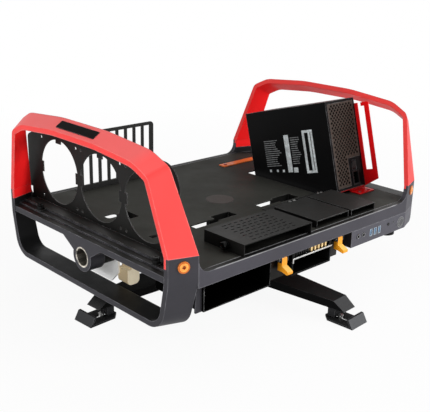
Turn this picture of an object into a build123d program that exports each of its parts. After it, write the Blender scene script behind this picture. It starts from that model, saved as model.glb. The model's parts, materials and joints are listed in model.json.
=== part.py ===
from build123d import *
from math import cos, radians, sin, sqrt, tan
import os

os.makedirs("parts", exist_ok=True)

# Deck and frame; lengths are millimetres, heights count from the deck's top
deck_z = 141.0
deck_depth = 459.0
deck_left = -247.0
deck_right = 278.0
deck_t = 2.0
deck_fit = 0.4
beam_h = 22.0
beam_wall = 10.0
beam_depth = 22.5
rail_in = 273.0
half = deck_depth / 2
deck_half = half - beam_wall
beam_in = half - beam_depth

# Corner posts, where the handles join the castings
post_in = 260.0
post_out = 304.0
post_taper = 15.5
post_y_out = half - post_taper
skin = 9.0
joint_z = 29.0
tongue_h = 16.0
tongue_t = 4.5
gusset = 22.0

# Handles: half of each rim's corners, as distance from the middle and height over the joint
handle_inner = [(half, 0.0), (half - 34.5, 126.0), (half - 69.5, 143.0), (60.0, 152.0)]
handle_outer = [(post_y_out, 0.0), (post_y_out - 33.0, 112.0), (post_y_out - 66.0, 128.0), (58.0, 136.0)]
handle_radii = [16.0, 60.0, 300.0]
inner_run = 0.2
outer_run = 0.081
plate_l = 100.0
plate_w = 15.0
plate_t = 1.2
plate_round = 1.5

# Handle bolts
bolt_r = 9.0
bolt_head = 3.5
bolt_recess = 1.5
bolt_clear = 0.4
bolt_hex = 2.6
bolt_hex_deep = 2.0
bolt_z = 15.0

# Lower hoop of the left end
hoop_inner = [(half, joint_z), (half, -12.0), (half - 22.5, -91.0)]
hoop_outer = [(post_y_out, joint_z), (post_y_out, -12.0), (post_y_out - 14.0, -88.0)]
hoop_radii = [60.0, 36.0]

# Cross-beam of the left end and the socket for upright use
step_w = 12.0
step_h = 2.5
beam_face = 303.0
beam_low = 10.0
beam_lap = 6.0
boss_z = -34.0
boss_r = 24.0
boss_back = -275.0
web_half = 52.0
web_in = 2.0
web_rise = 6.0
socket_r = 14.5
liner_r = 17.0
liner_clear = 0.1
tube_r = 20.0
plate_x = -248.0
plate_thick = 3.0
plate_front = -22.0
plate_back = 52.0
plate_low = -90.0
plate_corner = 20.0
catch_l = 24.0
catch_w = 26.0
catch_y = -17.0
catch_low = -87.0
catch_toe = 8.0
catch_toe_top = -60.0
catch_round = 8.0

# Fan bracket, for three 120 mm fans
fan_x = -257.0
fan_t = 1.6
fan_edge = 73.0
fan_inset = 0.5
fan_top = 148.0
fan_end_top = 118.0
fan_shoulder = 66.0
fan_round = 36.0
fan_corner = 9.0
fan_pitch = 120.0
fan_mid = 10.0
fan_z = 69.0
fan_hole_r = 56.0
fan_screw = 105.0
fan_screw_r = 2.6
tab_w = 15.0
side_tab_w = 19.0
tab_l = 8.0
tab_lap = 1.5
thumb_r = 6.0
thumb_knob_r = 5.2
thumb_h = 7.5
thumb_round = 2.5
thumb_ys = (147.0, -167.0)

# Slot bracket, for expansion cards
slot_y = half - 31.7
slot_pitch = 20.32
slot_count = 8
slot_left = -165.6
slot_w = 13.4
slot_low = 10.7
slot_high = 105.0
slot_top = 111.6
slot_margin = 7.0
slot_t = 1.6
slot_foot = 14.0
slot_round = 8.0
slot_screw_r = 3.0
slot_screw_h = 2.0
slot_screw_in = 6.0

# Deck openings as left, right, front, back; the lipped ones have folded edges underneath
open_slots = [(26.0, 75.0, -79.0, -63.0), (-137.0, -81.0, -87.0, -71.0), (-220.0, -190.0, -76.0, -66.0)]
lipped_slots = [(75.0, 124.0, -84.0, -58.0), (-81.0, -36.0, -81.0, -59.0), (-193.0, -170.0, 20.0, 54.0)]
lip_depth = 12.0
oval_x = -206.0
oval_y = 52.0
oval_w = 24.0
oval_h = 17.0
oval_r = 6.0
cap_r = 26.0
cap_depth = 0.6
cap_proud = 0.2
cap_clear = 0.4

# Main-board hole grid
board_x = 281.94
board_y = 227.33
board_left = -160.0
board_back = half - 44.0
board_hole_r = 1.25

# Lower bay and dock under the front beam
bay_left = -246.0
bay_right = -104.0
bay_low = -65.0
bay_depth = 110.0
bay_t = 1.5
bay_set = 4.0
bracket_w = 12.0
bracket_set = 8.0
bracket_t = 3.0
bracket_l = 30.0
dock_x = -2.0
dock_w = 99.0
dock_low = -64.0
dock_depth = 94.0
dock_front = half - 5.5
dock_wall = 3.0
dock_end_wall = 4.0
comb_side = 6.0
comb_gap = 3.0
comb_roof = 1.0
comb_depth = 12.0
dock_lip = -36.0
bezel_t = 2.4
bezel_drop = 6.0
bezel_out = 1.6
pin_count = 5
pin_pitch = 9.0
pin_w = 3.6
pin_l = 11.0
latch_gap = 71.0
latch_w = 12.0
latch_r = 4.5
latch_low = -48.0
toe_l = 13.0
toe_t = 6.0
toe_root = 9.6
latch_pin_r = 2.0
latch_pin_head_r = 3.5
latch_pin_head = 1.0
latch_fit = 0.05
latch_y = half - 7.5
latch_z = -27.5
ear_t = 3.0
ear_gap = 0.5

# Front panel with ports
panel_left = 97.0
panel_low = -52.0
panel_depth = 34.0
panel_round = 9.0
power_x = 246.0
power_z = -38.0
power_r = 9.5
power_l = 10.0
power_proud = 1.2
power_bore = 12.0
power_ring = (7.5, 6.3)
power_groove = 0.6
reset_x = 206.0
reset_r = 3.0
reset_l = 8.0
reset_proud = 0.8
reset_bore = 10.0
lamp_x = 222.0
lamp_r = 2.0
lamp_proud = 0.4
port_fit = 0.3
small_z = -33.0
button_fit = 0.08
socket_depth = 16.0
usb_xs = (154.0, 166.5, 179.0)
usb_z = -36.5
usb_w = 7.0
usb_h = 13.0
usb_t = 0.6
usb_proud = 0.3
tongue_w = 2.4
tongue_in = 1.0
jack_xs = (116.0, 131.0)
jack_z = -35.0
jack_r = 4.0
jack_proud = 0.8
jack_hole_r = 1.8
jack_hole = 12.0
bumper_x = 223.0
bumper_r = 17.0
bumper_t = 6.0

# Power supply on its cradle, leaning back
psu_right = 266.0
psu_w = 86.0
psu_x = psu_right - psu_w
psu_y = -half + 99.0
psu_z = 8.0
psu_h = 170.0
psu_l = 209.0
psu_lean = 15.4
sheet = 2.0
psu_cut_gap = 15.0
psu_cut_back = 93.0
inlet_x = 59.5
inlet_z = 18.5
inlet_w = 15.0
inlet_h = 22.0
inlet_wall = 2.5
inlet_depth = 12.0
inlet_proud = 1.5
blade_pitch = 6.0
blade_w = 4.0
blade_t = 1.8
blade_l = 7.0
rocker_z = 43.0
rocker_w = 12.0
rocker_h = 16.0
rocker_depth = 9.0
rocker_gap = 1.2
rocker_side = 0.25
rocker_root = (-5.0, -7.0, -4.0)
rocker_crown = (-0.6, 0.6, 2.2)
grille_side = 5.0
grille_low = 58.0
grille_leg = 44.0
grille_t = 1.2
grille_void = 6.0
grille_pitch = 9.0
grille_hole = 4.6
cradle_top = 158.0
cradle_strip = 10.0
cradle_window = 15.0
cradle_rail = 7.0
cradle_sill = 29.0
cradle_reach = 120.0
cradle_hook = 7.0
foot_tab_w = 45.0
foot_tab_l = 20.0
tab_web_gap = 1.6
tab_screw_in = 8.0
tab_screw_y = 13.0
cradle_screw_r = 3.2
cradle_screw_h = 2.0
stay_x = 210.5
stay_y = half - 71.0
stay_l = 107.0
stay_w = 17.0
stay_screw = 43.5

# Drive covers on the deck: left, right, front, back, height
cover_t = 1.5
cover_gap = 3.0
cover_boxes = {
    "drive_cover_large": (-166.0, -10.0, -half + 3.5, -half + 91.5, 20.0),
    "drive_cover_middle": (18.0, 104.0, -half + 15.5, -half + 111.5, 12.0),
    "drive_cover_right": (109.0, psu_x - cover_gap, -half + 13.5, -half + 111.5, 12.0),
}
flange_back = -half + 139.5
flange_screws = {"drive_cover_middle": (20.0, 9.0), "drive_cover_right": (12.0, 3.5)}
flange_screw_in = 7.0
flange_screw_r = 2.6
flange_screw_h = 1.6
vent_columns = 8
vent_rows = 8
vent_left = 30.0
vent_front = 9.0
vent_pitch_x = 13.0
vent_pitch_y = 10.0
vent_stagger = 4.0
vent_l = 8.0
vent_w = 2.4
knob_y = -half + 39.5
knob_r = 6.0
knob_l = 7.0
knob_neck_r = 4.5
knob_neck = 3.0

# Stand: a cross turned a little under the deck
turn = 3.0
reach = 317.5
arm_top = 36.0
arm_t = 14.0
hub_half = 38.0
arm_tip = 275.0
arm_slant = 21.0
arm_tip_half = 15.5
hub_r = 33.0
hub_h = 48.0
post_r = 17.0
post_fit = 0.08
post_engage = 40.0
socket_drop = 52.0
socket_flange_r = 52.0
socket_flange_t = 6.0
foot_l = 62.0
foot_half = 21.5
foot_t = 3.0
foot_corner = 12.0
stem_l = 14.0
stem_w = 18.0
slot_l = 38.0
foot_slot_w = 6.0
foot_bolt_r = 5.0
foot_bolt_h = 4.0
foot_shank_r = 2.2
foot_shank_gap = 0.5
lip_t = 4.0
lip_h = 15.0
lip_lean = 8.6

# Working planes at the deck's height: plan, seen from the front, seen from the right
deck = Plane.XY.offset(deck_z)
front = Plane(origin=(0, 0, deck_z), x_dir=(1, 0, 0), z_dir=(0, -1, 0))
side = Plane(origin=(0, 0, deck_z), x_dir=(0, 1, 0), z_dir=(1, 0, 0))


def save(builder, name):
    builder.part.label = name
    export_step(builder.part, f"parts/{name}.step")


def block(x0, x1, y0, y1):
    with Locations(((x0 + x1) / 2, (y0 + y1) / 2)):
        Rectangle(x1 - x0, y1 - y0)


def cut(x0, x1, y0, y1):
    with Locations(((x0 + x1) / 2, (y0 + y1) / 2)):
        Rectangle(x1 - x0, y1 - y0, mode=Mode.SUBTRACT)


def outline(*points):
    Polygon(*points, align=None)


# Sketch of one rim of a hoop that is open at its first corners; inset gives the inside
def rim(plane, corners, radii, inset=0.0):
    first, after = corners[0], corners[1]
    length = sqrt((first[0] - after[0]) ** 2 + (first[1] - after[1]) ** 2)
    grow = 3 * inset / length
    start = (first[0] + (first[0] - after[0]) * grow, first[1] + (first[1] - after[1]) * grow)
    points = [start, *corners[1:]]
    with BuildSketch(plane) as shape:
        outline(*points, *[(-y, h) for y, h in reversed(points)])
        for (y, h), radius in zip(corners[1:], radii):
            turns = [v for v in shape.vertices() if abs(abs(v.X) - y) + abs(v.Y - h) < 0.01]
            fillet(turns, radius)
        if inset:
            offset(amount=-inset, mode=Mode.REPLACE)
    return shape.sketch


# Plane of a handle's rim, leaning out by run for each unit of height
def rim_plane(end, x, run):
    size = sqrt(1 + run * run)
    return Plane(
        origin=(end * x, 0, deck_z + joint_z),
        x_dir=(0, 1, 0),
        z_dir=(1 / size, 0, -end * run / size),
    )


def stretched(corners, run):
    size = sqrt(1 + run * run)
    return [(y, h * size) for y, h in corners]


# Plan of a corner post between two depths under its outer face
def post_plan(end, row, near, far):
    outline(
        (end * post_in, row * (half - near)),
        (end * post_out, row * (post_y_out - near)),
        (end * post_out, row * (post_y_out - far)),
        (end * post_in, row * (half - far)),
    )


post_slope = (half - post_y_out) / (post_out - post_in)
face_size = sqrt(1 + post_slope**2)
bolt_x = (post_in + post_out) / 2
bolt_y = (half + post_y_out) / 2


def bolt_plane(end, row):
    return Plane(
        origin=(end * bolt_x, row * bolt_y, deck_z + bolt_z),
        z_dir=(end * post_slope / face_size, row / face_size, 0),
    )


# Cross-beam of the left end, stepped on top
beam_top = 2 * step_h
with BuildPart() as cross_beam:
    with BuildSketch(front.offset(-half)):
        outline(
            (-beam_face, -beam_low),
            (-beam_face, 0),
            (-beam_face + step_w, 0),
            (-beam_face + step_w, step_h),
            (-beam_face + 2 * step_w, step_h),
            (-beam_face + 2 * step_w, beam_top),
            (deck_left, beam_top),
            (deck_left, -deck_t),
            (deck_left + beam_lap, -deck_t),
            (deck_left + beam_lap, -beam_low),
        )
    extrude(amount=deck_depth)
    with BuildSketch(deck.offset(-beam_low)):
        outline(
            (-post_out, post_y_out - skin / 2),
            (-post_in, half - skin / 2),
            (-post_in, beam_in),
            (deck_left + beam_lap, beam_in),
            (deck_left + beam_lap, -beam_in),
            (-post_in, -beam_in),
            (-post_in, -half + skin / 2),
            (-post_out, -post_y_out + skin / 2),
        )
    extrude(amount=beam_low + beam_top, mode=Mode.INTERSECT)

# Casting of the left end: lower hoop, cross-beam and socket boss
inner_low = side.offset(-post_in)
outer_low = side.offset(-post_out)
with BuildPart() as left_end_frame:
    outside = [rim(inner_low, hoop_inner, hoop_radii), rim(outer_low, hoop_outer, hoop_radii)]
    loft(outside, ruled=True)
    inside = [rim(inner_low, hoop_inner, hoop_radii, skin), rim(outer_low, hoop_outer, hoop_radii, skin)]
    loft(inside, ruled=True, mode=Mode.SUBTRACT)
    add(cross_beam.part)
    with BuildSketch(side.offset(-beam_face)):
        outline(
            (-web_half, -beam_low),
            (-boss_r + web_in, boss_z + web_rise),
            (boss_r - web_in, boss_z + web_rise),
            (web_half, -beam_low),
        )
        with Locations((0, boss_z)):
            Circle(boss_r)
    extrude(amount=boss_back + beam_face)
    with BuildSketch(side.offset(-beam_face)):
        with Locations((0, boss_z)):
            Circle(liner_r + liner_clear)
    extrude(amount=boss_back + beam_face, mode=Mode.SUBTRACT)
    for row in (-1, 1):
        with BuildSketch(deck.offset(joint_z - tongue_h)):
            post_plan(-1, row, tongue_t, skin)
        extrude(amount=tongue_h, mode=Mode.SUBTRACT)
        with BuildSketch(bolt_plane(-1, row)):
            Circle(bolt_r + bolt_clear)
        extrude(amount=-bolt_recess, mode=Mode.SUBTRACT)
save(left_end_frame, "left_end_frame")

# Casting of the deck frame: front, back and right beams with the right corner posts
with BuildPart() as base_frame:
    with BuildSketch(deck.offset(-beam_h)):
        outline(
            (-post_in, -half),
            (post_in, -half),
            (post_out, -post_y_out),
            (post_out, post_y_out),
            (post_in, half),
            (-post_in, half),
            (-post_in, beam_in),
            (rail_in, beam_in),
            (rail_in, -beam_in),
            (-post_in, -beam_in),
        )
    extrude(amount=beam_h)
    with BuildSketch(deck.offset(-deck_t)):
        block(deck_left, deck_right, -deck_half, deck_half)
    extrude(amount=deck_t, mode=Mode.SUBTRACT)
    for row in (-1, 1):
        with BuildSketch(deck):
            post_plan(1, row, 0, skin)
        extrude(amount=joint_z)
        with BuildSketch(deck.offset(joint_z - tongue_h)):
            post_plan(1, row, tongue_t, skin)
        extrude(amount=tongue_h, mode=Mode.SUBTRACT)
        for end in (-1, 1):
            with BuildSketch(front.offset(-row * half)):
                with BuildLine():
                    a = (end * post_in, gusset)
                    b = (end * post_in, 0)
                    c = (end * (post_in - gusset), 0)
                    Polyline(a, b, c)
                    bend = gusset * (1 - sqrt(0.5))
                    ThreePointArc(c, (end * (post_in - bend), bend), a)
                make_face()
            extrude(amount=row * skin)
        with BuildSketch(bolt_plane(1, row)):
            Circle(bolt_r + bolt_clear)
        extrude(amount=-bolt_recess, mode=Mode.SUBTRACT)
save(base_frame, "base_frame")

# Handles: drafted hoops between a wide inner rim and a narrow outer rim
for end, name in ((-1, "left_handle"), (1, "right_handle")):
    wide = (rim_plane(end, post_in, inner_run), stretched(handle_inner, inner_run), handle_radii)
    narrow = (rim_plane(end, post_out, outer_run), stretched(handle_outer, outer_run), handle_radii)
    with BuildPart() as handle:
        loft([rim(*wide), rim(*narrow)], ruled=True)
        loft([rim(*wide, skin), rim(*narrow, skin)], ruled=True, mode=Mode.SUBTRACT)
        for row in (-1, 1):
            with BuildSketch(deck.offset(joint_z - tongue_h)):
                post_plan(end, row, tongue_t, skin)
            extrude(amount=tongue_h)
    save(handle, name)

# Bare plate on top of the left handle
crown_in = (-(post_in + inner_run * handle_inner[-1][1]), joint_z + handle_inner[-1][1])
crown_out = (-(post_out + outer_run * handle_outer[-1][1]), joint_z + handle_outer[-1][1])
crown_w = sqrt((crown_in[0] - crown_out[0]) ** 2 + (crown_in[1] - crown_out[1]) ** 2)
across = ((crown_in[0] - crown_out[0]) / crown_w, (crown_in[1] - crown_out[1]) / crown_w)
crown_mid = ((crown_in[0] + crown_out[0]) / 2, (crown_in[1] + crown_out[1]) / 2)
crown = Plane(
    origin=(crown_mid[0], 0, deck_z + crown_mid[1]),
    x_dir=(0, 1, 0),
    z_dir=(-across[1], 0, across[0]),
)
with BuildPart() as handle_plate:
    with BuildSketch(crown):
        RectangleRounded(plate_l, plate_w, plate_round)
    extrude(amount=plate_t)
save(handle_plate, "handle_plate")

with BuildPart() as handle_bolts:
    for end in (-1, 1):
        for row in (-1, 1):
            with BuildSketch(bolt_plane(end, row).offset(-bolt_recess)):
                Circle(bolt_r)
            extrude(amount=bolt_head)
            with BuildSketch(bolt_plane(end, row).offset(bolt_head - bolt_recess)):
                RegularPolygon(bolt_hex, 6)
            extrude(amount=-bolt_hex_deep, mode=Mode.SUBTRACT)
save(handle_bolts, "handle_bolts")

# Deck plate with its cable openings, board holes and the opening for the supply
lean = radians(psu_lean)
psu_cut_front = psu_y + psu_z / tan(lean) - psu_cut_gap
with BuildPart() as deck_plate:
    with BuildSketch(deck.offset(-deck_t)):
        block(deck_left, deck_right - deck_fit, -deck_half + deck_fit, deck_half - deck_fit)
        cut(psu_x - psu_cut_gap, psu_x + psu_w + 2 * sheet, psu_cut_front, psu_cut_back)
        for opening in (*open_slots, *lipped_slots):
            cut(*opening)
        with Locations((oval_x, oval_y)):
            RectangleRounded(oval_w, oval_h, oval_r, mode=Mode.SUBTRACT)
        for x in (board_left, board_left + board_x):
            for y in (board_back, board_back - board_y):
                with Locations((x, y)):
                    Circle(board_hole_r, mode=Mode.SUBTRACT)
    extrude(amount=deck_t)
    with BuildSketch(deck):
        Circle(cap_r)
    extrude(amount=-cap_depth, mode=Mode.SUBTRACT)
    with BuildSketch(deck.offset(-deck_t)):
        for x0, x1, y0, y1 in lipped_slots:
            block(x0, x1 + deck_t, y1, y1 + deck_t)
            block(x1, x1 + deck_t, y0, y1)
    extrude(amount=-lip_depth)
save(deck_plate, "deck_plate")

# Round cap over the stand's post
with BuildPart() as deck_cap:
    with BuildSketch(deck.offset(-cap_depth)):
        Circle(cap_r - cap_clear)
    extrude(amount=cap_depth + cap_proud)
save(deck_cap, "deck_cap")

# Fan bracket: a plate with three fan holes, spring tabs, and a foot with two joggled tabs
foot_edge = -beam_face + 2 * step_w
fan_first = fan_mid - fan_pitch
fan_centres = [fan_first + fan_pitch * n for n in range(3)]
fan_front = fan_first - fan_edge
fan_back = half - fan_inset
fan_notch = half - skin - fan_inset
tab_middle = fan_hole_r + tab_lap - tab_l / 2
thumb_x = -beam_face + 1.5 * step_w
with BuildPart() as fan_bracket:
    with BuildSketch(side.offset(fan_x)) as sheet_outline:
        outline(
            (fan_front, beam_top),
            (fan_front, fan_top),
            (fan_back - fan_shoulder, fan_top),
            (fan_back, fan_end_top),
            (fan_back, beam_top),
        )
        fillet(sheet_outline.vertices().sort_by(Axis.Y)[-2:].sort_by(Axis.X)[0], fan_round)
        fillet(sheet_outline.vertices().group_by(Axis.X)[-1].sort_by(Axis.Y)[-1], fan_corner)
        block(beam_in, fan_notch, 0, beam_top)
        cut(fan_notch, fan_back, beam_top, gusset + fan_t)
        for y in fan_centres:
            with Locations((y, fan_z)):
                Circle(fan_hole_r, mode=Mode.SUBTRACT)
        for y in fan_centres:
            with Locations((y, fan_z + tab_middle)):
                Rectangle(tab_w, tab_l)
            for row in (-1, 1):
                with Locations((y + row * tab_middle, fan_z)):
                    Rectangle(tab_l, side_tab_w)
        for y in fan_centres:
            for dy in (-1, 1):
                for dz in (-1, 1):
                    with Locations((y + dy * fan_screw / 2, fan_z + dz * fan_screw / 2)):
                        Circle(fan_screw_r, mode=Mode.SUBTRACT)
    extrude(amount=fan_t)
    with BuildSketch(deck.offset(beam_top)):
        block(foot_edge, fan_x, fan_front, beam_in)
    extrude(amount=fan_t)
    for y in thumb_ys:
        with BuildSketch(deck.offset(step_h)):
            block(foot_edge - fan_t, foot_edge, y - thumb_r, y + thumb_r)
        extrude(amount=beam_top - step_h + fan_t)
        with BuildSketch(deck.offset(step_h)):
            block(foot_edge - step_w, foot_edge, y - thumb_r, y + thumb_r)
        extrude(amount=fan_t)
save(fan_bracket, "fan_bracket")

with BuildPart() as fan_bracket_screws:
    for y in thumb_ys:
        with BuildSketch(deck.offset(step_h + fan_t)):
            with Locations((thumb_x - fan_t, y)):
                Circle(thumb_knob_r)
        extrude(amount=thumb_h)
    fillet(fan_bracket_screws.edges().filter_by(GeomType.CIRCLE).group_by(Axis.Z)[-1], thumb_round)
save(fan_bracket_screws, "fan_bracket_screws")

# Slot bracket: a comb of bars over a foot
slot_right = slot_left + slot_pitch * slot_count
with BuildPart() as slot_bracket:
    with BuildSketch(front.offset(-slot_y)) as comb:
        block(slot_left - slot_margin, slot_right + slot_margin, 0, slot_top)
        fillet(comb.vertices().group_by(Axis.Y)[-1], slot_round)
        for n in range(slot_count):
            x = slot_left + slot_pitch * (n + 0.5)
            cut(x - slot_w / 2, x + slot_w / 2, slot_low, slot_high)
    extrude(amount=-slot_t)
    with BuildSketch(deck):
        block(slot_left - slot_margin, slot_right + slot_margin, slot_y + slot_t, slot_y + slot_foot)
    extrude(amount=slot_t)
save(slot_bracket, "slot_bracket")

with BuildPart() as slot_bracket_screws:
    for x in (slot_left, (slot_left + slot_right) / 2, slot_right):
        with BuildSketch(deck.offset(slot_t)):
            with Locations((x, slot_y + slot_foot - slot_screw_in)):
                Circle(slot_screw_r)
        extrude(amount=slot_screw_h)
save(slot_bracket_screws, "slot_bracket_screws")

# Drive covers: trays turned over, open at the front
for name, (x0, x1, y0, y1, high) in cover_boxes.items():
    with BuildPart() as cover:
        with BuildSketch(deck):
            block(x0, x1, y0, y1)
        extrude(amount=high)
        with BuildSketch(deck):
            block(x0 + cover_t, x1 - cover_t, y0, y1 - cover_t)
        extrude(amount=high - cover_t, mode=Mode.SUBTRACT)
        if name == "drive_cover_large":
            spots = [
                (vent_left + vent_pitch_x * n + vent_stagger * (row % 2), vent_front + vent_pitch_y * row)
                for row in range(vent_rows)
                for n in range(vent_columns)
            ]
            with BuildSketch(deck.offset(high)):
                with Locations(*[(x0 + x, y0 + y) for x, y in spots]):
                    Rectangle(vent_l, vent_w)
            extrude(amount=-cover_t, mode=Mode.SUBTRACT)
        else:
            with BuildSketch(deck):
                block(x0, x1, y1, flange_back)
            extrude(amount=cover_t)
    save(cover, name)

with BuildPart() as cover_screws:
    for name, insets in flange_screws.items():
        for inset in insets:
            with BuildSketch(deck.offset(cover_t)):
                with Locations((cover_boxes[name][1] - inset, flange_back - flange_screw_in)):
                    Circle(flange_screw_r)
            extrude(amount=flange_screw_h)
save(cover_screws, "cover_screws")

large = cover_boxes["drive_cover_large"]
with BuildPart() as cover_knob:
    with BuildSketch(side.offset(large[0])):
        with Locations((knob_y, large[4] / 2)):
            Circle(knob_neck_r)
    extrude(amount=-knob_neck)
    with BuildSketch(side.offset(large[0] - knob_neck)):
        with Locations((knob_y, large[4] / 2)):
            Circle(knob_r)
    extrude(amount=-knob_l)
save(cover_knob, "cover_knob")

# Lower bay under the left of the front beam
bay_front = front.offset(half - bay_set)
with BuildPart() as lower_bay:
    with BuildSketch(bay_front):
        block(bay_left, bay_right, bay_low, -beam_h)
    extrude(amount=-bay_depth)
    with BuildSketch(bay_front):
        block(bay_left + bay_t, bay_right - bay_t, bay_low + bay_t, -beam_h - bay_t)
    extrude(amount=-bay_depth + bay_t, mode=Mode.SUBTRACT)
save(lower_bay, "lower_bay")

with BuildPart() as bay_bracket:
    with BuildSketch(front.offset(half - bracket_set)):
        block(bay_left - bracket_w, bay_left, bay_low, -beam_h)
    extrude(amount=-bracket_t)
    with BuildSketch(front.offset(half - bracket_set - bracket_t)):
        block(bay_left - bracket_t, bay_left, bay_low, -beam_h)
    extrude(amount=-bracket_l)
save(bay_bracket, "bay_bracket")

# Dock between the latches
dock_face = front.offset(dock_front)
dock_left = dock_x - dock_w / 2
dock_right = dock_x + dock_w / 2
with BuildPart() as dock_housing:
    with BuildSketch(dock_face):
        block(dock_left, dock_right, dock_low, -beam_h)
    extrude(amount=-dock_depth)
    with BuildSketch(dock_face):
        block(dock_left + dock_wall, dock_right - dock_wall, dock_low + dock_wall, dock_lip)
    extrude(amount=-dock_depth + dock_end_wall, mode=Mode.SUBTRACT)
    with BuildSketch(dock_face):
        block(dock_left + comb_side, dock_right - comb_side, dock_lip + comb_gap, -beam_h - comb_roof)
    extrude(amount=-comb_depth, mode=Mode.SUBTRACT)
save(dock_housing, "dock_housing")

with BuildPart() as dock_bezel:
    with BuildSketch(dock_face):
        block(dock_left, dock_right, dock_lip, dock_lip + bezel_t)
        block(dock_left, dock_left + bezel_t, dock_lip - bezel_drop, dock_lip)
    extrude(amount=bezel_out)
save(dock_bezel, "dock_bezel")

with BuildPart() as dock_pins:
    for n in range(pin_count):
        x = dock_x + pin_pitch * n
        with BuildSketch(front.offset(dock_front - comb_depth)):
            block(x - pin_w / 2, x + pin_w / 2, dock_lip + comb_gap, -beam_h - comb_roof)
        extrude(amount=pin_l)
save(dock_pins, "dock_pins")

# Latches beside the dock, on pins held by brackets
latch_xs = {"left_latch": dock_x - latch_gap, "right_latch": dock_x + latch_gap}
ear_in = latch_w / 2 + ear_gap
ear_out = ear_in + ear_t
back_plates = ((bay_right, dock_left), (dock_right, dock_x + latch_gap + ear_out))
with BuildPart() as latch_brackets:
    for x0, x1 in back_plates:
        with BuildSketch(front.offset(latch_y - 2 * latch_r)):
            block(x0, x1, dock_low, -beam_h)
        extrude(amount=-ear_t)
    for x in latch_xs.values():
        for near, far in ((-ear_out, -ear_in), (ear_in, ear_out)):
            with BuildSketch(side.offset(x + near)):
                block(-latch_y - latch_r, -latch_y + 2 * latch_r, latch_z - latch_r, -beam_h)
                with Locations((-latch_y, latch_z)):
                    Circle(latch_pin_r, mode=Mode.SUBTRACT)
            extrude(amount=far - near)
save(latch_brackets, "latch_brackets")

with BuildPart() as latch_pins:
    for x in latch_xs.values():
        with BuildSketch(side.offset(x - ear_out)):
            with Locations((-latch_y, latch_z)):
                Circle(latch_pin_r)
        extrude(amount=2 * ear_out)
        with BuildSketch(side.offset(x - ear_out)):
            with Locations((-latch_y, latch_z)):
                Circle(latch_pin_head_r)
        extrude(amount=-latch_pin_head)
save(latch_pins, "latch_pins")

for name, x in latch_xs.items():
    with BuildPart() as latch:
        with BuildSketch(side.offset(x - latch_w / 2)):
            with Locations((-latch_y, latch_z)):
                Circle(latch_r)
            block(-latch_y - latch_r, -latch_y + latch_r, latch_low, latch_z)
            toe = -latch_y - latch_r
            outline(
                (toe, latch_low),
                (toe - toe_l, latch_low - toe_t / 2),
                (toe - toe_l, latch_low + toe_t / 2),
                (toe, latch_low + toe_root),
            )
            with Locations((-latch_y, latch_z)):
                Circle(latch_pin_r + latch_fit, mode=Mode.SUBTRACT)
        extrude(amount=latch_w)
        fillet(latch.edges().filter_by(Axis.X).group_by(Axis.Y)[0], toe_t / 3)
    save(latch, name)

# Front panel with the ports and buttons; its right end follows the frame's corner
panel_face = front.offset(half)
panel_back = -half + panel_depth
with BuildPart() as io_panel:
    with BuildSketch(panel_face) as panel_outline:
        block(panel_left, post_out, panel_low, -beam_h)
        fillet(panel_outline.vertices().group_by(Axis.Y)[0].sort_by(Axis.X)[-1], panel_round)
    extrude(amount=-panel_depth)
    with BuildSketch(deck.offset(panel_low)):
        outline(
            (panel_left, -half),
            (post_in, -half),
            (post_out, -post_y_out),
            (post_out, panel_back),
            (panel_left, panel_back),
        )
    extrude(amount=-beam_h - panel_low, mode=Mode.INTERSECT)
    with BuildSketch(panel_face):
        with Locations((power_x, power_z)):
            Circle(power_r + button_fit)
    extrude(amount=-power_bore, mode=Mode.SUBTRACT)
    with BuildSketch(panel_face):
        with Locations((reset_x, small_z)):
            Circle(reset_r + button_fit)
    extrude(amount=-reset_bore, mode=Mode.SUBTRACT)
    with BuildSketch(panel_face):
        for x in usb_xs:
            with Locations((x, usb_z)):
                Rectangle(usb_w, usb_h)
        for x in jack_xs:
            with Locations((x, jack_z)):
                Circle(jack_r + port_fit)
        with Locations((lamp_x, small_z)):
            Circle(lamp_r + port_fit)
    extrude(amount=-socket_depth, mode=Mode.SUBTRACT)
save(io_panel, "io_panel")

with BuildPart() as power_button:
    with BuildSketch(panel_face.offset(power_proud)):
        with Locations((power_x, power_z)):
            Circle(power_r)
    extrude(amount=-power_l)
    with BuildSketch(panel_face.offset(power_proud)):
        with Locations((power_x, power_z)):
            Circle(power_ring[0])
            Circle(power_ring[1], mode=Mode.SUBTRACT)
    extrude(amount=-power_groove, mode=Mode.SUBTRACT)
save(power_button, "power_button")

with BuildPart() as reset_button:
    with BuildSketch(panel_face.offset(reset_proud)):
        with Locations((reset_x, small_z)):
            Circle(reset_r)
    extrude(amount=-reset_l)
save(reset_button, "reset_button")

with BuildPart() as lamp:
    with BuildSketch(panel_face.offset(lamp_proud)):
        with Locations((lamp_x, small_z)):
            Circle(lamp_r)
    extrude(amount=-socket_depth - lamp_proud)
save(lamp, "status_lamp")

with BuildPart() as usb_shells:
    for x in usb_xs:
        with BuildSketch(panel_face.offset(usb_proud)):
            with Locations((x, usb_z)):
                Rectangle(usb_w, usb_h)
                Rectangle(usb_w - 2 * usb_t, usb_h - 2 * usb_t, mode=Mode.SUBTRACT)
        extrude(amount=-socket_depth - usb_proud)
save(usb_shells, "usb_shells")

with BuildPart() as usb_tongues:
    for x in usb_xs:
        with BuildSketch(panel_face.offset(-tongue_in)):
            with Locations((x - tongue_w / 2, usb_z)):
                Rectangle(tongue_w, usb_h - 4 * usb_t)
        extrude(amount=tongue_in - socket_depth)
save(usb_tongues, "usb_tongues")

with BuildPart() as audio_jacks:
    for x in jack_xs:
        with BuildSketch(panel_face.offset(-socket_depth)):
            with Locations((x, jack_z)):
                Circle(jack_r)
        extrude(amount=socket_depth + jack_proud)
        with BuildSketch(panel_face.offset(jack_proud)):
            with Locations((x, jack_z)):
                Circle(jack_hole_r)
        extrude(amount=-jack_hole, mode=Mode.SUBTRACT)
save(audio_jacks, "audio_jacks")

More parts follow.
